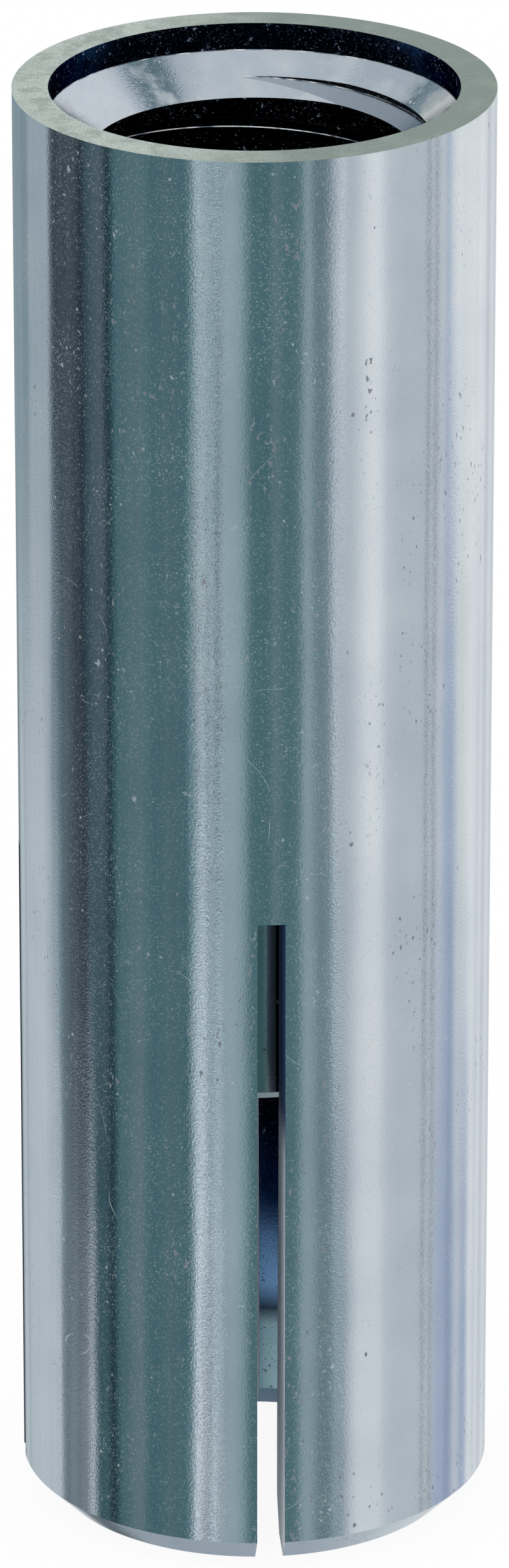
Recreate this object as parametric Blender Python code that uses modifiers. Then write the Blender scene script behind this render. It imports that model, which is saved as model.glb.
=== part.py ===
"""Drop-in anchor for an M12 bolt: a turned steel sleeve with its expander plug inside.

The sleeve stands on its slotted end. Z runs up the bore, and the origin is the centre of the
bottom face. The bolt screws into the top, and the plug, driven down the bore, spreads the legs.
"""

import bmesh
import bpy
from math import cos, pi, radians, sin, tan

# Sleeve, outside
OUTER_DIAMETER = 0.01588
SLEEVE_LENGTH = 0.0500
FOOT_CHAMFER = 0.0010          # 45 degrees, round the bottom edge

# Sleeve, threaded end. The bore here is the minor diameter of the thread.
WALL = 0.0026                  # from the outside to the crests of the thread
RIM_WIDTH = 0.00119            # flat ring round the mouth
COUNTERBORE_DEPTH = 0.00094
COUNTERSINK_ANGLE = radians(99)  # included angle of the lead-in cone
THREAD_DEPTH = 0.0205          # from the top face to the drilled shoulder
DRILL_POINT_ANGLE = radians(118)

# Sleeve, expansion end
CHAMBER_STEP = 0.00049         # how far the plug chamber's wall stands in from the crests
TAPER_TOP = 0.0161             # heights of the taper's two ends above the bottom face
TAPER_BOTTOM = 0.0037
TAPER_DROP = 0.00062           # how far the taper closes in on the radius
MOUTH_FLARE = 0.00102          # 45 degrees, at the bottom of the bore
SLOTS = 4
SLOT_WIDTH = 0.00094
SLOT_LENGTH = 0.0236

# Expander plug
PLUG_CLEARANCE = 0.0003        # all round, in the chamber
PLUG_LENGTH = 0.0115
PLUG_CHAMFER = 0.00033

FACETS = 96                    # round each turned piece
CUTTER_OVERRUN = 0.0010        # how far a cutter passes the faces that it opens
SMOOTH_BELOW = radians(25)     # edges that turn by more than this stay sharp

OUTER_RADIUS = OUTER_DIAMETER / 2
COUNTERBORE_RADIUS = OUTER_RADIUS - RIM_WIDTH
THREAD_RADIUS = OUTER_RADIUS - WALL
CHAMBER_RADIUS = THREAD_RADIUS - CHAMBER_STEP
THROAT_RADIUS = CHAMBER_RADIUS - TAPER_DROP
PLUG_RADIUS = CHAMBER_RADIUS - PLUG_CLEARANCE


def clear_scene():
    for item in list(bpy.data.objects):
        bpy.data.objects.remove(item, do_unlink=True)
    for group in list(bpy.data.collections):
        bpy.data.collections.remove(group)


def new_collection(name):
    group = bpy.data.collections.new(name)
    bpy.context.scene.collection.children.link(group)
    return group


def new_material(name, colour, roughness, metallic):
    material = bpy.data.materials.new(name)
    material.use_nodes = True
    shader = material.node_tree.nodes["Principled BSDF"]
    shader.inputs["Base Color"].default_value = (*colour, 1.0)
    shader.inputs["Roughness"].default_value = roughness
    shader.inputs["Metallic"].default_value = metallic
    return material


def turned(name, outline, closed, group, material):
    """A solid of revolution about Z. The outline is (radius, height) points, outer side down."""
    form = bmesh.new()
    corners = [form.verts.new((radius, 0.0, height)) for radius, height in outline]
    for first, second in zip(corners, corners[1:]):
        form.edges.new((first, second))
    if closed:
        form.edges.new((corners[-1], corners[0]))
    mesh = bpy.data.meshes.new(name)
    form.to_mesh(mesh)
    form.free()
    mesh.materials.append(material)
    piece = bpy.data.objects.new(name, mesh)
    group.objects.link(piece)
    screw = piece.modifiers.new("turned", "SCREW")
    screw.axis = "Z"
    screw.angle = 2 * pi
    screw.steps = FACETS
    screw.render_steps = FACETS
    screw.use_merge_vertices = True
    screw.merge_threshold = 0.00001
    return piece


def bake_modifiers(piece):
    """Make the modified shape the piece's own mesh, smooth where its facets are small."""
    bpy.context.view_layer.update()
    graph = bpy.context.evaluated_depsgraph_get()
    outline_mesh = piece.data
    mesh = bpy.data.meshes.new_from_object(piece.evaluated_get(graph))
    mesh.name = piece.name
    piece.modifiers.clear()
    piece.data = mesh
    bpy.data.meshes.remove(outline_mesh)
    mesh.shade_smooth()
    mesh.set_sharp_from_angle(angle=SMOOTH_BELOW)


def sleeve_outline():
    """Down the outside, across the foot, up the bore and back over the rim."""
    lead_in_depth = (COUNTERBORE_RADIUS - THREAD_RADIUS) / tan(COUNTERSINK_ANGLE / 2)
    counterbore_floor = SLEEVE_LENGTH - COUNTERBORE_DEPTH
    thread_end = SLEEVE_LENGTH - THREAD_DEPTH
    shoulder_height = CHAMBER_STEP / tan(DRILL_POINT_ANGLE / 2)
    return [
        (OUTER_RADIUS, SLEEVE_LENGTH),
        (OUTER_RADIUS, FOOT_CHAMFER),
        (OUTER_RADIUS - FOOT_CHAMFER, 0.0),
        (THROAT_RADIUS + MOUTH_FLARE, 0.0),
        (THROAT_RADIUS, MOUTH_FLARE),
        (THROAT_RADIUS, TAPER_BOTTOM),
        (CHAMBER_RADIUS, TAPER_TOP),
        (CHAMBER_RADIUS, thread_end - shoulder_height),
        (THREAD_RADIUS, thread_end),
        (THREAD_RADIUS, counterbore_floor - lead_in_depth),
        (COUNTERBORE_RADIUS, counterbore_floor),
        (COUNTERBORE_RADIUS, SLEEVE_LENGTH),
    ]


def plug_outline():
    """The plug stands with its lower shoulder at the top of the taper."""
    bottom = TAPER_TOP - PLUG_CHAMFER
    top = bottom + PLUG_LENGTH
    return [
        (0.0, top),
        (PLUG_RADIUS - PLUG_CHAMFER, top),
        (PLUG_RADIUS, top - PLUG_CHAMFER),
        (PLUG_RADIUS, bottom + PLUG_CHAMFER),
        (PLUG_RADIUS - PLUG_CHAMFER, bottom),
        (0.0, bottom),
    ]


def slot_cutter(index, group):
    """A blade from the bore's axis out through one wall, open at the bottom face."""
    reach = OUTER_RADIUS + CUTTER_OVERRUN
    height = SLOT_LENGTH + CUTTER_OVERRUN
    turn = 2 * pi * index / SLOTS
    form = bmesh.new()
    bmesh.ops.create_cube(form, size=1.0)
    bmesh.ops.scale(form, vec=(reach, SLOT_WIDTH, height), verts=form.verts)
    mesh = bpy.data.meshes.new(f"slot_cutter_{index}")
    form.to_mesh(mesh)
    form.free()
    cutter = bpy.data.objects.new(mesh.name, mesh)
    cutter.location = (cos(turn) * reach / 2, sin(turn) * reach / 2, height / 2 - CUTTER_OVERRUN)
    cutter.rotation_euler = (0.0, 0.0, turn)
    cutter.hide_render = True
    cutter.display_type = "WIRE"
    group.objects.link(cutter)
    return cutter


def cut(piece, cutter):
    boolean = piece.modifiers.new(cutter.name, "BOOLEAN")
    boolean.operation = "DIFFERENCE"
    boolean.solver = "EXACT"
    boolean.object = cutter


def build_sleeve(parts, cutters):
    zinc_plate = new_material("zinc_plated_steel", (0.56, 0.61, 0.64), 0.24, 1.0)
    sleeve = turned("anchor_sleeve", sleeve_outline(), True, parts, zinc_plate)
    for index in range(SLOTS):
        cut(sleeve, slot_cutter(index, cutters))
    bake_modifiers(sleeve)


def build_plug(parts):
    bright_steel = new_material("bright_steel", (0.42, 0.44, 0.45), 0.34, 1.0)
    plug = turned("expander_plug", plug_outline(), False, parts, bright_steel)
    bake_modifiers(plug)


def main():
    clear_scene()
    parts = new_collection("drop_in_anchor")
    cutters = new_collection("cutters")
    build_sleeve(parts, cutters)
    build_plug(parts)


main()
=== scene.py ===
"""Looks of the drop-in anchor: a zinc-plated sleeve with its bolt thread, and the expander plug.

Both pieces are turned from the sizes of the CAD model, with a finer surface. The thread is cut into
the bore here. All lengths are in metres, and Z runs up the bore from the slotted foot.
"""

from math import cos, pi, radians, sin, tan

import bmesh
import bpy
from mathutils import Matrix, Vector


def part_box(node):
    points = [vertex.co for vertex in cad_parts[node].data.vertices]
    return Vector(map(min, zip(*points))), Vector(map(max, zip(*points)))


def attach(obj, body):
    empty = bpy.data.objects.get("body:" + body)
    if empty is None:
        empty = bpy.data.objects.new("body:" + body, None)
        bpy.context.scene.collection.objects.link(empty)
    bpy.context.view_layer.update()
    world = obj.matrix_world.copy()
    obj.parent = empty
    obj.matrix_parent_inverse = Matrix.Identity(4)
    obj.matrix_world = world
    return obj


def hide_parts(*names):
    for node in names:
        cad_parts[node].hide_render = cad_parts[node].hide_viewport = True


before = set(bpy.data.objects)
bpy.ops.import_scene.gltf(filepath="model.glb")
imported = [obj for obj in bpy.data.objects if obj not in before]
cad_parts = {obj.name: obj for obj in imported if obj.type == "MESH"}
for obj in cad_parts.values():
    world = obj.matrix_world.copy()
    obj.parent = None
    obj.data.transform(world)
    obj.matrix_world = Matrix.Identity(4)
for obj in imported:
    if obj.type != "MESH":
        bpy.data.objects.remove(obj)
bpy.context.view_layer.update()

MM = 0.001

# Sleeve. The frame gives the outside and the length.
sleeve_low, sleeve_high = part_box("anchor_sleeve")
OUTER_RADIUS = sleeve_high.x
SLEEVE_LENGTH = sleeve_high.z
FOOT_CHAMFER = 1.00 * MM
WALL = 2.60 * MM                 # from the outside to the crests of the thread
RIM_WIDTH = 1.19 * MM
COUNTERBORE_DEPTH = 0.94 * MM
COUNTERSINK_ANGLE = radians(99)
THREAD_DEPTH = 20.5 * MM
DRILL_POINT_ANGLE = radians(118)
CHAMBER_STEP = 0.49 * MM
TAPER_TOP = 16.1 * MM
TAPER_BOTTOM = 3.7 * MM
TAPER_DROP = 0.62 * MM
MOUTH_FLARE = 1.02 * MM
SLOTS = 4
SLOT_WIDTH = 0.94 * MM
SLOT_LENGTH = 23.6 * MM

# Thread, M12 by 1.75 mm, right-handed
THREAD_PITCH = 1.75 * MM
THREAD_MAJOR_RADIUS = 5.97 * MM
THREAD_ROOT_FLAT = 0.18 * MM
THREAD_FLANK_ANGLE = radians(30)
THREAD_START_DEPTH = 0.208 * MM  # of the first groove's middle at the +X side, above the cone
THREAD_TURNS = 11

# Expander plug. The frame gives its radius and its two ends.
plug_low, plug_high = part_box("expander_plug")
PLUG_RADIUS = plug_high.x
PLUG_CHAMFER = 0.33 * MM

# Camera, as fitted to the photo's outline
CAMERA_AZIMUTH = radians(-4.07)
CAMERA_PITCH = radians(21.96)
CAMERA_DISTANCE = 311.7 * MM     # level distance from the anchor's axis
CAMERA_HEIGHT = 151.1 * MM
CAMERA_LENS = 229.9              # mm on a 36 mm sensor, along the picture's long side
CAMERA_SENSOR = 36.0

# Worn corners that catch the light in the mouth
WORN_EDGE = 0.025 * MM           # their height
WORN_ANGLE = radians(27)         # how far their normals tilt up from level
ROOT_RISE = 0.3                  # the normal's rise is under this on the thread's root
FLANK_RISE = 0.7                 # and over this on its flanks. Between them is the worn corner.

FACETS = 360                     # round each turned piece
THREAD_STEPS = 120               # in each turn of the thread
OVERRUN = 0.2 * MM               # how far a cutter passes the faces that it opens
MERGE_DISTANCE = 0.001 * MM      # for the seam and the poles of a turned piece
CORNER_ANGLE = radians(20)       # edges that turn by more than this stay sharp

COUNTERBORE_RADIUS = OUTER_RADIUS - RIM_WIDTH
THREAD_RADIUS = OUTER_RADIUS - WALL
CHAMBER_RADIUS = THREAD_RADIUS - CHAMBER_STEP
THROAT_RADIUS = CHAMBER_RADIUS - TAPER_DROP

# Material slots of the sleeve
PLATE, RIM, CONE, THREAD, BORE, CHEEK, WORN = range(7)

# Marks on the metal
DUST = "#B4C0C6"                 # lint and zinc dust
PIT = "#4E5862"                  # pinholes and grime
MARK_METALLIC = 0.05
MARK_ROUGHNESS = 0.6
PLATE_GRAIN = 0.07               # mm. That of zinc plate is about 0.02, too fine to show here.
RAGGED_GRAIN = 0.06              # mm, of the raggedness of the marks' edges
SHADED_LIP = 0.12 * MM            # how far the painted shade along the slots' outer lip reaches into them
LIP_BLEND = 0.02 * MM            # half the width over which it fades
BLOTCH_LINE = (7.4 * MM, 8.6 * MM)  # heights over which dark blotches set in up the bore

FLOOR_REACH = 3.0                # metres from the anchor to each edge of the floor
PAPER_GLOW = 0.93                # the share of plain white in what the camera sees of the floor

# The room that the metal mirrors, as painted cards round the table
CARDS = {
    "white": "#FDFEFF",
    "bright": "#EEF0F3",
    "pale": "#DEE2E8",
    "silver": "#D3DADF",
    "ash": "#BFCAD0",
    "grey": "#AFBBC3",
    "mist": "#A9BDC3",
    "steel": "#9AACB5",
    "sage": "#8FA7AC",
    "lead": "#8FA1A9",
    "stone": "#869298",
    "slate": "#738B91",
    "heather": "#71858C",
    "jade": "#648388",
    "iron": "#66737A",
    "teal": "#5E7A80",
    "lagoon": "#56797F",
    "deep": "#50737A",
    "pewter": "#586874",
    "petrol": "#44656D",
    "dark": "#465F69",
    "coal": "#48545D",
    "spruce": "#2B4B53",
    "night": "#323E49",
    "ink": "#222D38",
    "cream": "#F3F3E9",
    "blue": "#BAC6DD",
    "lilac": "#A9B4CD",
    "ceiling": "#EAEEF1",
    "underside": "#B0BAC4",
}
# Each wall is a row of (azimuth in degrees from the camera's side, card), blended between them.
LEFT_WALL = [
    (-180, "white"), (-175, "pale"), (-169, "iron"), (-166, "iron"), (-162, "ash"),
    (-126, "silver"), (-120, "ash"), (-117, "grey"), (-113, "steel"), (-109, "slate"),
    (-105, "iron"), (-99, "coal"), (-95, "coal"), (-91, "night"), (-86, "dark"), (-78, "dark"),
    (-74, "spruce"), (-70, "deep"), (-66, "teal"), (-60, "jade"), (-54, "jade"), (-49, "deep"),
    (-43, "teal"), (-32, "deep"), (-28, "mist"), (-25, "ash"), (-21, "steel"), (-10, "mist"),
    (-5, "sage"), (-2, "jade"), (0, "lagoon"),
]
RIGHT_WALL = [
    (0, "lagoon"), (7, "lagoon"), (10, "slate"), (15, "lagoon"), (21, "jade"), (25, "mist"),
    (28, "sage"), (32, "slate"), (36, "lead"), (40, "silver"), (48, "silver"), (53, "bright"),
    (57, "white"), (62, "white"), (67, "pale"), (74, "silver"), (88, "silver"), (103, "pale"),
    (107, "blue"), (112, "blue"), (118, "bright"), (128, "white"), (135, "white"), (140, "pale"),
    (143, "white"), (148, "pale"), (152, "pale"), (157, "bright"), (164, "silver"),
    (173, "silver"), (180, "white"),
]
# Cards hung in front of the walls: (left, right, lowest, highest) in degrees, and the card.
# A later one hangs in front of an earlier one.
HUNG_CARDS = [
    ((-169, -137, -21, 35), "lead"),
    ((-137, -116, -21, 35), "grey"),
    ((-115, -100, -21, 35), "coal"),
    ((-133, -111, -60, -23.5), "silver"),
    ((-110.5, -90, -60, -24.3), "stone"),
    ((-91, -85.8, -60, -24.6), "silver"),
    ((-85.5, -77.5, -60, -24.0), "petrol"),
    ((-30.3, -14, -60, -24.5), "ash"),
    ((-28.8, -24.6, -60, -24.5), "pale"),
    ((-84.5, -76.5, -22.5, 20), "pewter"),
    ((-24, -12, -20.5, 20), "mist"),
    ((27.5, 32.5, -20.5, 20), "slate"),
    ((-152, -150, -60, 10), "steel"),
    ((-92, -91, -23.5, -10), "ink"),
    ((-76, -74, -60, -10), "ink"),
    ((-59, -57.5, -60, 10), "iron"),
    ((-62.5, -56, -60, -23.5), "heather"),
    ((-54.5, -47.5, -60, -23.5), "deep"),
    ((91.3, 92.2, -60, 10), "night"),
    ((96.8, 97.7, -60, 10), "night"),
    ((119, 123, -60, 10), "cream"),
    ((25, 30, -60, -21.5), "steel"),
    ((35, 46, -60, -23.5), "steel"),
    ((34, 39.5, -60, -23.5), "slate"),
    ((52, 65, -60, -23.5), "bright"),
    ((100, 131, -60, -23.5), "blue"),
    ((109, 115.5, -60, -23.5), "lilac"),
    ((117, 122.5, -60, -23.5), "pale"),
    ((108, 144, -20.5, 20), "white"),
    ((-180, -139, -8, 24), "cream"),
    ((139, 180, -8, 24), "cream"),
    ((-125, -20, 36, 80), "silver"),
    ((-98, -86, 53, 63), "white"),
    ((-136, -125, 25, 36), "slate"),
    ((76, 113, 43, 63), "slate"),
    ((113, 160, 5, 44), "white"),
    ((-75, 75, 20, 50), "white"),
]
# Parts of the room where the cards are creased foil, with how much the folds show
FOILS = [
    ((-118, -68, -60, -10), 0.3),
    ((-33, -15, -60, -10), 1.0),
    ((33, 43, -60, -10), 0.5),
]
FOLDS_PER_DEGREE = 0.8
FOLD_LIGHT = (0.05, 2.1)         # the darkest and the lightest fold, in shares of the card's light
# Parts of the room where the cards hang in upright pleats
PLEATS = [
    ((-180, -120, -60, 10), 0.12),
    ((-118, -80, -60, 10), 0.35),
    ((-78, -36, -60, 10), 0.2),
    ((-10, 46, -60, 10), 0.10),
    ((86, 180, -60, 10), 0.10),
]
PLEATS_PER_DEGREE = 0.5
PLEAT_LIGHT = (0.0, 2.0)
CARD_SIDE = 2.0                  # degrees over which a card fades, inwards and outwards of a side
CARD_END = 1.0                   # and of its top and bottom
CEILING = (62.0, 80.0)           # degrees of elevation over which the walls turn to the ceiling
UNDERSIDE = (-44.0, -60.0)       # and to what is below the table


def linear(code):
    """An sRGB hex colour as linear RGBA."""
    channels = [int(code[start:start + 2], 16) / 255 for start in (1, 3, 5)]
    return (*[c / 12.92 if c <= 0.04045 else ((c + 0.055) / 1.055) ** 2.4 for c in channels], 1.0)


def add(tree, kind, sockets=None, **settings):
    """Adds a node with its settings. Each socket takes a value, or the output that feeds it."""
    node = tree.nodes.new(kind)
    for name, value in settings.items():
        setattr(node, name, value)
    for key, value in (sockets or {}).items():
        if isinstance(value, bpy.types.NodeSocket):
            tree.links.new(value, node.inputs[key])
        else:
            node.inputs[key].default_value = value
    return node


def cells_of(size_mm):
    """The texture scale at which a pattern's cell measures this many millimetres."""
    return 1 / (size_mm * MM)


def new_object(name, form, materials):
    mesh = bpy.data.meshes.new(name)
    form.to_mesh(mesh)
    form.free()
    for material in materials:
        mesh.materials.append(material)
    piece = bpy.data.objects.new(name, mesh)
    bpy.context.scene.collection.objects.link(piece)
    return piece


def turned(outline, closed):
    """A solid of revolution about Z from (radius, height, material slot) points. A slot holds for
    the stretch from its point to the next."""
    form = bmesh.new()
    corners = [form.verts.new((point[0], 0.0, point[1])) for point in outline]
    ends = corners[1:] + corners[:1] if closed else corners[1:]
    for first, second in zip(corners, ends):
        form.edges.new((first, second))
    stretches = [((a.co + b.co) / 2, point[2]) for a, b, point in zip(corners, ends, outline)]
    bmesh.ops.spin(form, geom=form.verts[:] + form.edges[:], cent=(0, 0, 0), axis=(0, 0, 1),
                   dvec=(0, 0, 0), angle=2 * pi, steps=FACETS, use_merge=True)
    bmesh.ops.remove_doubles(form, verts=form.verts[:], dist=MERGE_DISTANCE)
    bmesh.ops.recalc_face_normals(form, faces=form.faces[:])
    for face in form.faces:
        centre = face.calc_center_median()
        radius = (centre.x ** 2 + centre.y ** 2) ** 0.5
        nearest = min(stretches, key=lambda s: (s[0].x - radius) ** 2 + (s[0].z - centre.z) ** 2)
        face.material_index = nearest[1]
    return form


def sleeve_outline():
    """Down the outside, across the foot, up the bore and back over the rim."""
    lead_in_depth = (COUNTERBORE_RADIUS - THREAD_RADIUS) / tan(COUNTERSINK_ANGLE / 2)
    counterbore_floor = SLEEVE_LENGTH - COUNTERBORE_DEPTH
    thread_end = SLEEVE_LENGTH - THREAD_DEPTH
    shoulder_height = CHAMBER_STEP / tan(DRILL_POINT_ANGLE / 2)
    return [
        (OUTER_RADIUS, SLEEVE_LENGTH, PLATE),
        (OUTER_RADIUS, FOOT_CHAMFER, PLATE),
        (OUTER_RADIUS - FOOT_CHAMFER, 0.0, RIM),
        (THROAT_RADIUS + MOUTH_FLARE, 0.0, BORE),
        (THROAT_RADIUS, MOUTH_FLARE, BORE),
        (THROAT_RADIUS, TAPER_BOTTOM, BORE),
        (CHAMBER_RADIUS, TAPER_TOP, BORE),
        (CHAMBER_RADIUS, thread_end - shoulder_height, BORE),
        (THREAD_RADIUS, thread_end, BORE),
        (THREAD_RADIUS, counterbore_floor - lead_in_depth, CONE),
        (COUNTERBORE_RADIUS - WORN_EDGE * tan(WORN_ANGLE), counterbore_floor, WORN),
        (COUNTERBORE_RADIUS, counterbore_floor + WORN_EDGE, BORE),
        (COUNTERBORE_RADIUS, SLEEVE_LENGTH, RIM),
    ]


def plug_outline():
    bottom, top = plug_low.z, plug_high.z
    return [
        (0.0, top, 0),
        (PLUG_RADIUS - PLUG_CHAMFER, top, 0),
        (PLUG_RADIUS, top - PLUG_CHAMFER, 0),
        (PLUG_RADIUS, bottom + PLUG_CHAMFER, 0),
        (PLUG_RADIUS - PLUG_CHAMFER, bottom, 0),
        (0.0, bottom, 0),
    ]


def slot_cutter(turn, materials):
    """A blade from the bore's axis out through one wall, open at the foot."""
    reach = OUTER_RADIUS + OVERRUN
    height = SLOT_LENGTH + OVERRUN
    form = bmesh.new()
    bmesh.ops.create_cube(form, size=1.0)
    bmesh.ops.scale(form, vec=(reach, SLOT_WIDTH, height), verts=form.verts)
    bmesh.ops.translate(form, vec=(reach / 2, 0, height / 2 - OVERRUN), verts=form.verts)
    bmesh.ops.rotate(form, cent=(0, 0, 0), matrix=Matrix.Rotation(turn, 3, "Z"), verts=form.verts)
    for face in form.faces:
        face.material_index = CHEEK
    return new_object("slot_cutter", form, materials)


def thread_cutter(materials):
    """A ridge with the form of the thread's groove, wound clockwise down the bore. The lower
    corner of the groove's root is worn by the tap, and catches the light."""
    root = THREAD_MAJOR_RADIUS
    inner = THREAD_RADIUS - OVERRUN
    wear = WORN_EDGE * tan(WORN_ANGLE)
    slope = tan(THREAD_FLANK_ANGLE)
    half_root = THREAD_ROOT_FLAT / 2
    middle = SLEEVE_LENGTH - THREAD_START_DEPTH
    groove = [
        (inner, -half_root - (root - inner) * slope),
        (root - wear, -half_root - wear * slope),
        (root, -half_root + WORN_EDGE),
        (root, half_root),
        (inner, half_root + (root - inner) * slope),
    ]
    form = bmesh.new()
    section = form.faces.new([form.verts.new((r, 0.0, middle + z)) for r, z in groove])
    bmesh.ops.spin(form, geom=[section, *section.edges, *section.verts], cent=(0, 0, 0),
                   axis=(0, 0, -1), dvec=(0, 0, -THREAD_PITCH / THREAD_STEPS),
                   angle=2 * pi * THREAD_TURNS, steps=THREAD_STEPS * THREAD_TURNS)
    bmesh.ops.triangulate(form, faces=form.faces[:])
    bmesh.ops.recalc_face_normals(form, faces=form.faces[:])
    for face in form.faces:
        worn = ROOT_RISE < abs(face.normal.z) < FLANK_RISE
        face.material_index = WORN if worn else THREAD
    return new_object("thread_cutter", form, materials)


def cut(piece, cutters):
    """Takes the cutters out of the piece for good, and removes them."""
    for cutter in cutters:
        boolean = piece.modifiers.new(cutter.name, "BOOLEAN")
        boolean.operation = "DIFFERENCE"
        boolean.solver = "EXACT"
        boolean.object = cutter
    bpy.context.view_layer.update()
    graph = bpy.context.evaluated_depsgraph_get()
    whole = piece.data
    mesh = bpy.data.meshes.new_from_object(piece.evaluated_get(graph))
    piece.modifiers.clear()
    piece.data = mesh
    mesh.name = piece.name
    bpy.data.meshes.remove(whole)
    for cutter in cutters:
        bpy.data.meshes.remove(cutter.data)


def shade(piece):
    """Smooth, but for the real corners and the lines where one finish meets another."""
    form = bmesh.new()
    form.from_mesh(piece.data)
    for face in form.faces:
        face.smooth = True
    for edge in form.edges:
        first, second = edge.link_faces
        meets = first.material_index != second.material_index
        edge.smooth = not meets and first.normal.angle(second.normal, 0.0) < CORNER_ANGLE
    form.to_mesh(piece.data)
    form.free()


def build_sleeve(materials):
    sleeve = new_object("threaded_sleeve", turned(sleeve_outline(), closed=True), materials)
    slots = [slot_cutter(2 * pi * index / SLOTS, materials) for index in range(SLOTS)]
    cut(sleeve, slots + [thread_cutter(materials)])
    shade(sleeve)
    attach(sleeve, "sleeve")
    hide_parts("anchor_sleeve")


def build_plug(material):
    plug = new_object("turned_plug", turned(plug_outline(), closed=False), [material])
    shade(plug)
    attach(plug, "plug")
    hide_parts("expander_plug")


def new_material(name):
    material = bpy.data.materials.new(name)
    material.use_nodes = True
    material.node_tree.nodes.clear()
    return material, material.node_tree


def blend_colours(tree, share, first, second):
    """A colour between two, each an sRGB hex value or another node's output."""
    first, second = [linear(c) if isinstance(c, str) else c for c in (first, second)]
    return add(tree, "ShaderNodeMix", {0: share, 6: first, 7: second}, data_type="RGBA").outputs[2]


def between(tree, value, low, high, at_low=0.0, at_high=1.0):
    """The value carried from one range to another, and held at its ends."""
    return add(tree, "ShaderNodeMapRange", {
        "Value": value, "From Min": low, "From Max": high,
        "To Min": at_low, "To Max": at_high}).outputs["Result"]


def most_of(tree, masks):
    """The strongest of several masks at each point."""
    most = masks[0]
    for mask in masks[1:]:
        most = add(tree, "ShaderNodeMath", {0: most, 1: mask}, operation="MAXIMUM").outputs[0]
    return most


def times(tree, first, second):
    return add(tree, "ShaderNodeMath", {0: first, 1: second}, operation="MULTIPLY").outputs[0]


def noise(tree, place, size_mm, detail=2.0):
    return add(tree, "ShaderNodeTexNoise", {
        "Vector": place, "Scale": cells_of(size_mm), "Detail": detail}).outputs["Fac"]


def object_place(tree, stretch=(1.0, 1.0, 1.0)):
    """Object coordinates. A stretch over 1 makes a pattern longer that way."""
    place = add(tree, "ShaderNodeTexCoord").outputs["Object"]
    return add(tree, "ShaderNodeMapping", {
        "Vector": place, "Scale": [1 / amount for amount in stretch]}).outputs["Vector"]


def ragged_place(tree, push_mm):
    """Object coordinates pushed about a little, so that marks get ragged edges."""
    place = object_place(tree)
    push = add(tree, "ShaderNodeTexNoise", {
        "Vector": place, "Scale": cells_of(RAGGED_GRAIN), "Detail": 1.0}).outputs["Color"]
    centred = add(tree, "ShaderNodeVectorMath", {0: push, 1: (0.5, 0.5, 0.5)},
                  operation="SUBTRACT").outputs["Vector"]
    scaled = add(tree, "ShaderNodeVectorMath", {0: centred, "Scale": push_mm * MM},
                 operation="SCALE").outputs["Vector"]
    return add(tree, "ShaderNodeVectorMath", {0: place, 1: scaled}).outputs["Vector"]


def specks(tree, place, spacing_mm, radius_mm, share):
    """A mask of small marks in that share of the pattern's cells, each of its own size and
    strength."""
    cells = add(tree, "ShaderNodeTexVoronoi", {"Vector": place, "Scale": cells_of(spacing_mm)})
    chance = add(tree, "ShaderNodeSeparateColor", {"Color": cells.outputs["Color"]})
    size = between(tree, chance.outputs["Red"], 0.0, share, radius_mm / spacing_mm, 0.0)
    inside = add(tree, "ShaderNodeMath", {0: size, 1: cells.outputs["Distance"]},
                 operation="SUBTRACT").outputs[0]
    mark = between(tree, inside, 0.0, 0.4 * radius_mm / spacing_mm)
    return times(tree, mark, between(tree, chance.outputs["Green"], 0.0, 1.0, 0.35, 1.0))


def flakes(tree, place, size_mm, patch_mm, least=0.56):
    """A mask of ragged flakes that gather in patches, where a slow noise passes the least."""
    shape = between(tree, noise(tree, place, size_mm, 3.0), 0.64, 0.70)
    patch = between(tree, noise(tree, place, patch_mm, 1.0), least, least + 0.06)
    return times(tree, shape, patch)


def hairlines(tree, place, wander_mm, width, patch_mm):
    """A mask of thin curved scratches: level lines of a slow noise, kept in a few patches."""
    level = noise(tree, place, wander_mm, 0.0)
    off = add(tree, "ShaderNodeMath", {0: level, 1: 0.5}, operation="SUBTRACT").outputs[0]
    distance = add(tree, "ShaderNodeMath", {0: off}, operation="ABSOLUTE").outputs[0]
    line = between(tree, distance, width, 0.4 * width)
    patch = between(tree, noise(tree, place, patch_mm, 1.0), 0.60, 0.66)
    return times(tree, line, patch)


def marked_metal(tree, colour, roughness, dust, pits, grain, depth_mm, metal=1.0,
                 tint="#FFFFFF", lint=DUST):
    """Metal under marks. Dust is matt and pale, so it stands out on dark reflections. Pits are
    matt and dark, so they stand out on pale ones. The grain breaks up what the metal mirrors."""
    marks = most_of(tree, [dust, pits])
    paint = blend_colours(tree, pits, blend_colours(tree, dust, colour, lint), PIT)
    bare = between(tree, marks, 0.0, 1.0, metal, MARK_METALLIC)
    dulled = add(tree, "ShaderNodeMix", {0: marks, 2: roughness, 3: MARK_ROUGHNESS}).outputs[0]
    bump = add(tree, "ShaderNodeBump", {"Height": grain, "Distance": depth_mm * MM})
    shader = add(tree, "ShaderNodeBsdfPrincipled", {
        "Base Color": paint, "Metallic": bare, "Roughness": dulled,
        "Specular Tint": linear(tint), "Normal": bump.outputs["Normal"]})
    add(tree, "ShaderNodeOutputMaterial", {"Surface": shader.outputs["BSDF"]})


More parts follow.
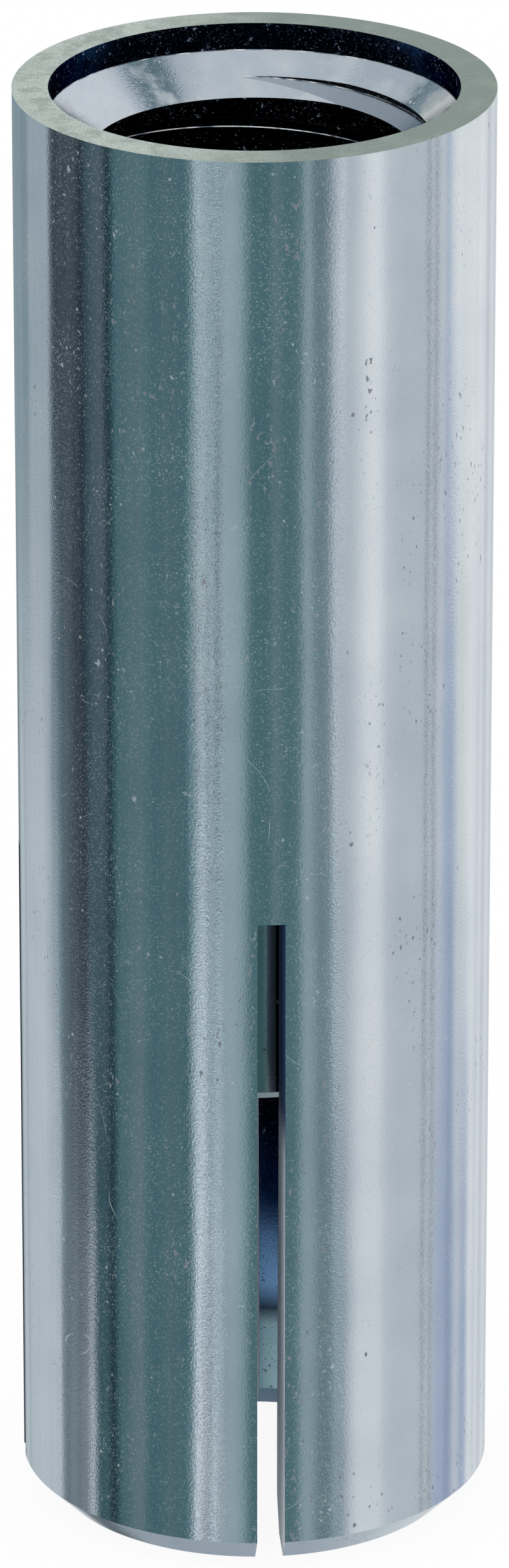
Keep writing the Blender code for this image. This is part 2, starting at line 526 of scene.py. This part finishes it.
def zinc_plate():
    """Clear bright zinc on a drawn tube. It mirrors its surroundings, broken into fine flecks by
    the grain of the plating, under a haze of dust with a few flakes and scratches."""
    material, tree = new_material("bright_zinc_plate")
    place = object_place(tree)
    ragged = ragged_place(tree, 0.06)
    cloud = noise(tree, place, 3.0, 6.0)
    # The haze is of dust finer than these specks, which are as small as show here.
    haze = times(tree, specks(tree, ragged, 0.06, 0.038, 1.0),
                 between(tree, cloud, 0.38, 0.64, 0.12, 0.33))
    dust = most_of(tree, [
        haze,
        times(tree, specks(tree, ragged, 0.12, 0.040, 0.7), 0.16),
        times(tree, specks(tree, ragged, 0.36, 0.065, 0.6), 0.45),
        times(tree, flakes(tree, ragged, 0.18, 2.5), 0.5),
        times(tree, hairlines(tree, place, 4.0, 0.0014, 2.2), 0.5),
    ])
    long_place = object_place(tree, (1.0, 1.0, 1.8))
    pits = most_of(tree, [
        times(tree, specks(tree, long_place, 0.8, 0.065, 0.5), 0.9),
        times(tree, flakes(tree, long_place, 0.16, 2.6, 0.54), 0.8),
        times(tree, specks(tree, ragged, 0.10, 0.038, 0.9),
              between(tree, cloud, 0.42, 0.60, 0.28, 0.08)),
    ])
    colour = blend_colours(tree, between(tree, cloud, 0.3, 0.7), "#C9D0D6", "#D3D9DD")
    # The long waves, five times as high as the grain, are those of the drawn tube under it.
    waves = times(tree, noise(tree, object_place(tree, (1.0, 1.0, 4.0)), 1.8, 1.0), 5.0)
    grain = add(tree, "ShaderNodeMath", {0: noise(tree, place, PLATE_GRAIN), 1: waves}).outputs[0]
    marked_metal(tree, colour, 0.05, dust, pits, grain, 0.0024)
    return material


def rim_face():
    """The faced end of the tube under the same zinc: greenish grey, silky from the cutting tool,
    with painted light, lighter towards one side and darker towards the other, and dirt held in its
    fine grain."""
    material, tree = new_material("faced_zinc_rim")
    place = object_place(tree)
    ragged = ragged_place(tree, 0.06)
    across = add(tree, "ShaderNodeSeparateXYZ", {"Vector": place}).outputs["X"]
    cloud = noise(tree, place, 1.8, 4.0)
    # Painted light across the rim: lighter at -X and darker at +X, a painted reflection that varies
    # a little with the cloud.
    side = between(tree, across, -3.4 * MM, 2.0 * MM)
    painted_side_shade = add(tree, "ShaderNodeMath", {
        0: side, 1: between(tree, cloud, 0.25, 0.75, -0.3, 0.3)}).outputs[0]
    broad = blend_colours(tree, painted_side_shade, "#CAD5D2", "#81938F")
    stains = between(tree, noise(tree, ragged, 0.7, 5.0), 0.50, 0.66, 0.0, 0.5)
    broad = blend_colours(tree, stains, broad, "#7C8C89")
    grain = noise(tree, place, 0.06)
    colour = blend_colours(tree, between(tree, grain, 0.38, 0.68, 0.0, 0.5), broad, "#66766F")
    dust = most_of(tree, [
        times(tree, specks(tree, ragged, 0.10, 0.04, 0.7), 0.45),
        times(tree, hairlines(tree, place, 3.0, 0.0020, 1.6), 0.4),
    ])
    pits = most_of(tree, [
        times(tree, specks(tree, ragged, 0.3, 0.05, 0.5), 0.4),
        times(tree, specks(tree, ragged, 0.09, 0.035, 0.7), 0.3),
    ])
    marked_metal(tree, colour, 0.34, dust, pits, grain, 0.006)
    return material


def lead_in_cone():
    """The countersunk cone: zinc over tool marks, brighter than the rim, and frosted with dust."""
    material, tree = new_material("countersunk_zinc")
    place = object_place(tree)
    ragged = ragged_place(tree, 0.06)
    cloud = noise(tree, place, 0.9, 5.0)
    dust = most_of(tree, [
        between(tree, cloud, 0.48, 0.75, 0.0, 0.7),
        times(tree, specks(tree, ragged, 0.07, 0.035, 0.9), 0.6),
        times(tree, flakes(tree, ragged, 0.22, 1.2, 0.5), 0.7),
    ])
    pits = times(tree, specks(tree, ragged, 0.5, 0.04, 0.4), 0.7)
    colour = blend_colours(tree, cloud, "#B4BDC6", "#C8D0D7")
    marked_metal(tree, colour, 0.11, dust, pits, noise(tree, place, PLATE_GRAIN), 0.0030,
                 lint="#E2E7EB")
    return material


def height_of(tree):
    place = add(tree, "ShaderNodeTexCoord").outputs["Object"]
    return add(tree, "ShaderNodeSeparateXYZ", {"Vector": place}).outputs["Z"]


def colour_along(tree, value, unit, stops):
    """A colour that follows a value, from (value in that unit, sRGB hex) stops."""
    first, last = stops[0][0], stops[-1][0]
    ramp = add(tree, "ShaderNodeValToRGB", {
        "Fac": between(tree, value, first * unit, last * unit)})
    ends = ramp.color_ramp.elements
    ends[0].color = linear(stops[0][1])
    ends[1].color = linear(stops[-1][1])
    for stop, code in stops[1:-1]:
        ends.new((stop - first) / (last - first)).color = linear(code)
    return ramp.outputs["Color"]


def by_height(tree, stops):
    """A colour that changes up the bore, from (height in mm, sRGB hex) stops."""
    return colour_along(tree, height_of(tree), MM, stops)


def thread_flanks():
    """The tapped thread: bright where it runs out on the cone, and dark further down, which is
    painted shade.
    """
    material, tree = new_material("tapped_zinc_thread")
    ragged = ragged_place(tree, 0.06)
    # Painted shade: the flanks turn dark below 47.2 mm, down in the bore.
    colour = by_height(tree, [(0.0, "#39424E"), (47.2, "#39424E"), (47.6, "#A3ACB5"),
                              (50.0, "#A3ACB5")])
    dust = most_of(tree, [
        times(tree, specks(tree, ragged, 0.11, 0.04, 0.8), 0.5),
        times(tree, flakes(tree, ragged, 0.2, 0.9, 0.5), 0.6),
    ])
    pits = times(tree, specks(tree, ragged, 0.5, 0.05, 0.3), 0.8)
    marked_metal(tree, colour, 0.16, dust, pits, noise(tree, ragged, PLATE_GRAIN), 0.0030,
                 tint="#8A94A0")
    return material


def painted_shade_bore():
    """The drilled bore, with painted light and shade up it: pale with a blue band near the foot,
    where light comes in, black above, where shade falls, and navy on the counterbore's wall, a
    painted blue reflection. Dark blotches and lint and swarf dust lie on it."""
    material, tree = new_material("steel_bore_painted_shade")
    place = object_place(tree)
    ragged = ragged_place(tree, 0.11)
    # Painted light and shade by height: pale and blue near the foot, black from 12 mm up, and a
    # painted navy reflection on the counterbore's wall.
    colour = by_height(tree, [
        (0.0, "#BAC4CC"), (1.0, "#A9BDC2"), (3.5, "#A3B7BC"), (4.1, "#3F4C5C"), (5.0, "#9CBCE8"),
        (6.9, "#8FAFDD"), (8.2, "#30486C"), (12.0, "#121923"), (47.8, "#121923"),
        (49.0, "#2A4468"), (50.0, "#2A4468")])
    blotch_zone = between(tree, height_of(tree), *BLOTCH_LINE)
    blotches = times(tree, blotch_zone, between(tree, noise(tree, place, 0.5, 4.0), 0.45, 0.7, 0.0, 0.6))
    mottled = blend_colours(tree, blotches, colour, "#10161E")
    cloud = between(tree, noise(tree, place, 1.6, 3.0), 0.4, 0.65, 0.15, 0.8)
    dust = most_of(tree, [
        times(tree, specks(tree, ragged, 0.065, 0.032, 1.0), cloud),
        times(tree, specks(tree, ragged, 0.22, 0.055, 0.6), 0.6),
        times(tree, flakes(tree, ragged, 0.2, 0.9, 0.46), 0.8),
    ])
    pits = times(tree, specks(tree, ragged, 0.5, 0.05, 0.5), 0.9)
    marked_metal(tree, mottled, 0.16, dust, pits, noise(tree, ragged, PLATE_GRAIN), 0.0035,
                 tint="#5A6A84", lint="#A9B9D2")
    return material


def worn_edge():
    """Corners of the thread and the counterbore, burnished bright by taps and bolts."""
    material, tree = new_material("burnished_zinc_edge")
    place = object_place(tree)
    nicks = between(tree, noise(tree, place, 0.7, 5.0), 0.40, 0.54)
    colour = blend_colours(tree, nicks, "#EDF1F5", "#5F6C78")
    dust = times(tree, specks(tree, place, 0.2, 0.04, 0.5), 0.3)
    pits = times(tree, specks(tree, place, 0.3, 0.04, 0.4), 0.5)
    marked_metal(tree, colour, 0.3, dust, pits, noise(tree, place, 0.1), 0.001)
    return material


def sawn_cheek():
    """The slot's sides: sawn, then plated. The saw leaves fine streaks along the slot, which make
    them duller and paler than the bore. Their colour is painted light and shade: near white low
    down, to make up for the shade in the slot, and navy and black above 16.5 mm, a painted blue
    reflection and painted shade beside the plug. A painted shade along the lip at the outside makes
    a slot that is seen edge-on a dark line."""
    material, tree = new_material("sawn_zinc_cheek")
    place = object_place(tree)
    streaks = noise(tree, object_place(tree, (1.0, 1.0, 60.0)), 0.10, 3.0)
    # Painted light and shade by height: near white low down, lighter still near the foot, to make
    # up for the shade in the slot; navy and black above 16.5 mm for a painted reflection and
    # painted shade beside the plug.
    paler = by_height(tree, [(0.0, "#FCFDFE"), (15.0, "#FCFDFE"), (16.5, "#5F86C4"),
                             (24.0, "#5F86C4")])
    darker = by_height(tree, [(0.0, "#E3EAF1"), (2.0, "#E3EAF1"), (4.0, "#C3CFDC"),
                              (15.0, "#C3CFDC"), (16.5, "#1C2A3C"), (24.0, "#1C2A3C")])
    colour = blend_colours(tree, between(tree, streaks, 0.35, 0.65), darker, paler)
    level = add(tree, "ShaderNodeVectorMath", {0: place, 1: (1.0, 1.0, 0.0)},
                operation="MULTIPLY").outputs["Vector"]
    radius = add(tree, "ShaderNodeVectorMath", {0: level}, operation="LENGTH").outputs["Value"]
    # A painted shade along the outer lip of each slot, so that a slot seen edge-on is a dark line.
    lip_middle = OUTER_RADIUS - SHADED_LIP
    lip_shade = between(tree, radius, lip_middle - LIP_BLEND, lip_middle + LIP_BLEND)
    colour = blend_colours(tree, lip_shade, colour, "#35404C")
    dust = times(tree, specks(tree, place, 0.3, 0.05, 0.4), 0.4)
    pits = times(tree, specks(tree, place, 0.8, 0.06, 0.3), 0.8)
    marked_metal(tree, colour, 0.5, dust, pits, streaks, 0.004, metal=0.0)
    return material


def bright_steel():
    """The plug: plain drawn steel, not plated, so darker and greener than the zinc round it."""
    material, tree = new_material("bright_drawn_steel")
    place = object_place(tree)
    ragged = ragged_place(tree, 0.06)
    drawn = noise(tree, object_place(tree, (1.0, 1.0, 30.0)), 0.25, 3.0)
    colour = blend_colours(tree, between(tree, drawn, 0.3, 0.7), "#929F9F", "#A6B1B2")
    dust = times(tree, specks(tree, ragged, 0.12, 0.03, 0.6), 0.25)
    pits = most_of(tree, [
        times(tree, specks(tree, ragged, 0.7, 0.10, 0.5), 0.9),
        times(tree, flakes(tree, ragged, 0.2, 0.8, 0.52), 0.6),
    ])
    marked_metal(tree, colour, 0.07, dust, pits, noise(tree, place, 0.08), 0.0015)
    return material


def sleeve_materials():
    """In the order of the sleeve's material slots."""
    return [zinc_plate(), rim_face(), lead_in_cone(), thread_flanks(), painted_shade_bore(),
            sawn_cheek(), worn_edge()]


def wall(tree, azimuth, stops):
    """The cards of one half of the room, by azimuth in degrees from the camera's side."""
    return colour_along(tree, azimuth, 1, [(angle, CARDS[card]) for angle, card in stops])


def region(tree, azimuth, elevation, edges):
    """A mask of one part of the room. Its edges are soft, and sharper at a narrow strip's sides."""
    left, right, low, high = edges
    side = min(CARD_SIDE, (right - left) / 2)
    across = times(tree, between(tree, azimuth, left - side, left + side),
                   between(tree, azimuth, right + side, right - side))
    up = times(tree, between(tree, elevation, low - CARD_END, low + CARD_END),
               between(tree, elevation, high + CARD_END, high - CARD_END))
    return times(tree, across, up)


def varied(tree, room, azimuth, elevation, gain, areas):
    """The cards of some areas made lighter and darker by a pattern."""
    for edges, amount in areas:
        share = times(tree, region(tree, azimuth, elevation, edges), amount)
        here = add(tree, "ShaderNodeMix", {0: share, 2: 1.0, 3: gain}).outputs[0]
        room = add(tree, "ShaderNodeVectorMath", {0: room, "Scale": here},
                   operation="SCALE").outputs["Vector"]
    return room


def creased(tree, room, azimuth, elevation):
    """Cards that are creased foil, so that the grain of the metal finds light and dark in them.
    The folds are twice as tall as they are wide."""
    spread = add(tree, "ShaderNodeCombineXYZ", {
        "X": azimuth, "Y": times(tree, elevation, 0.5)}).outputs["Vector"]
    folds = add(tree, "ShaderNodeTexNoise", {
        "Vector": spread, "Scale": FOLDS_PER_DEGREE, "Detail": 2.0}).outputs["Fac"]
    fold = between(tree, folds, 0.42, 0.58, *FOLD_LIGHT)
    return varied(tree, room, azimuth, elevation, fold, FOILS)


def pleated(tree, room, azimuth, elevation):
    """Cards in upright pleats, which the metal shows as fine lines along it."""
    pleats = add(tree, "ShaderNodeTexNoise", {
        "W": azimuth, "Scale": PLEATS_PER_DEGREE, "Detail": 2.0},
        noise_dimensions="1D").outputs["Fac"]
    pleat = between(tree, pleats, 0.3, 0.7, *PLEAT_LIGHT)
    return varied(tree, room, azimuth, elevation, pleat, PLEATS)


def build_world():
    """The camera sees white and the light is plain white. The metal mirrors a room of cards."""
    world = bpy.data.worlds.new("card_studio")
    world.use_nodes = True
    bpy.context.scene.world = world
    tree = world.node_tree
    tree.nodes.clear()
    direction = add(tree, "ShaderNodeTexCoord").outputs["Generated"]
    from_camera = add(tree, "ShaderNodeVectorRotate", {
        "Vector": direction, "Angle": -CAMERA_AZIMUTH}, rotation_type="Z_AXIS").outputs["Vector"]
    axes = add(tree, "ShaderNodeSeparateXYZ", {"Vector": from_camera})
    to_front = times(tree, axes.outputs["Y"], -1.0)
    around = add(tree, "ShaderNodeMath", {0: axes.outputs["X"], 1: to_front},
                 operation="ARCTAN2").outputs[0]
    azimuth = add(tree, "ShaderNodeMath", {0: around}, operation="DEGREES").outputs[0]
    rise = add(tree, "ShaderNodeMath", {0: axes.outputs["Z"]}, operation="ARCSINE").outputs[0]
    elevation = add(tree, "ShaderNodeMath", {0: rise}, operation="DEGREES").outputs[0]
    on_right = add(tree, "ShaderNodeMath", {0: azimuth, 1: 0.0},
                   operation="GREATER_THAN").outputs[0]
    room = blend_colours(tree, on_right, wall(tree, azimuth, LEFT_WALL),
                         wall(tree, azimuth, RIGHT_WALL))
    for edges, card in HUNG_CARDS:
        cover = region(tree, azimuth, elevation, edges)
        room = blend_colours(tree, cover, room, CARDS[card])
    room = creased(tree, room, azimuth, elevation)
    room = pleated(tree, room, azimuth, elevation)
    room = blend_colours(tree, between(tree, elevation, *CEILING), room, CARDS["ceiling"])
    room = blend_colours(tree, between(tree, elevation, *UNDERSIDE), room, CARDS["underside"])
    rays = add(tree, "ShaderNodeLightPath")
    mirrored = add(tree, "ShaderNodeBackground", {"Color": room}).outputs[0]
    plain = add(tree, "ShaderNodeBackground", {"Color": linear("#FFFFFF")}).outputs[0]
    seen = add(tree, "ShaderNodeMixShader", {
        0: rays.outputs["Is Glossy Ray"], 1: plain, 2: mirrored}).outputs[0]
    add(tree, "ShaderNodeOutputWorld", {"Surface": seen})


def build_floor():
    """A sheet of matt white paper. It keeps the anchor's shadow. The metal doesn't mirror it."""
    form = bmesh.new()
    bmesh.ops.create_grid(form, x_segments=1, y_segments=1, size=FLOOR_REACH)
    material, tree = new_material("matt_white_paper")
    paper = add(tree, "ShaderNodeBsdfDiffuse", {"Color": linear("#FDFDFD")}).outputs[0]
    lit = add(tree, "ShaderNodeEmission", {"Color": linear("#FFFFFF")}).outputs[0]
    share = times(tree, add(tree, "ShaderNodeLightPath").outputs["Is Camera Ray"], PAPER_GLOW)
    mixed = add(tree, "ShaderNodeMixShader", {0: share, 1: paper, 2: lit}).outputs[0]
    add(tree, "ShaderNodeOutputMaterial", {"Surface": mixed})
    floor = new_object("paper_floor", form, [material])
    floor.visible_glossy = False


def build_camera():
    """Turned a little from the slot in front, and looking down, as in the photo."""
    lens = bpy.data.cameras.new("camera")
    lens.lens = CAMERA_LENS
    lens.sensor_width = CAMERA_SENSOR
    camera = bpy.data.objects.new("camera", lens)
    camera.location = (sin(CAMERA_AZIMUTH) * CAMERA_DISTANCE,
                       -cos(CAMERA_AZIMUTH) * CAMERA_DISTANCE, CAMERA_HEIGHT)
    camera.rotation_euler = (pi / 2 - CAMERA_PITCH, 0.0, CAMERA_AZIMUTH)
    bpy.context.scene.collection.objects.link(camera)
    bpy.context.scene.camera = camera


build_sleeve(sleeve_materials())
build_plug(bright_steel())
build_world()
build_floor()
build_camera()
bpy.context.scene.view_settings.view_transform = "Standard"
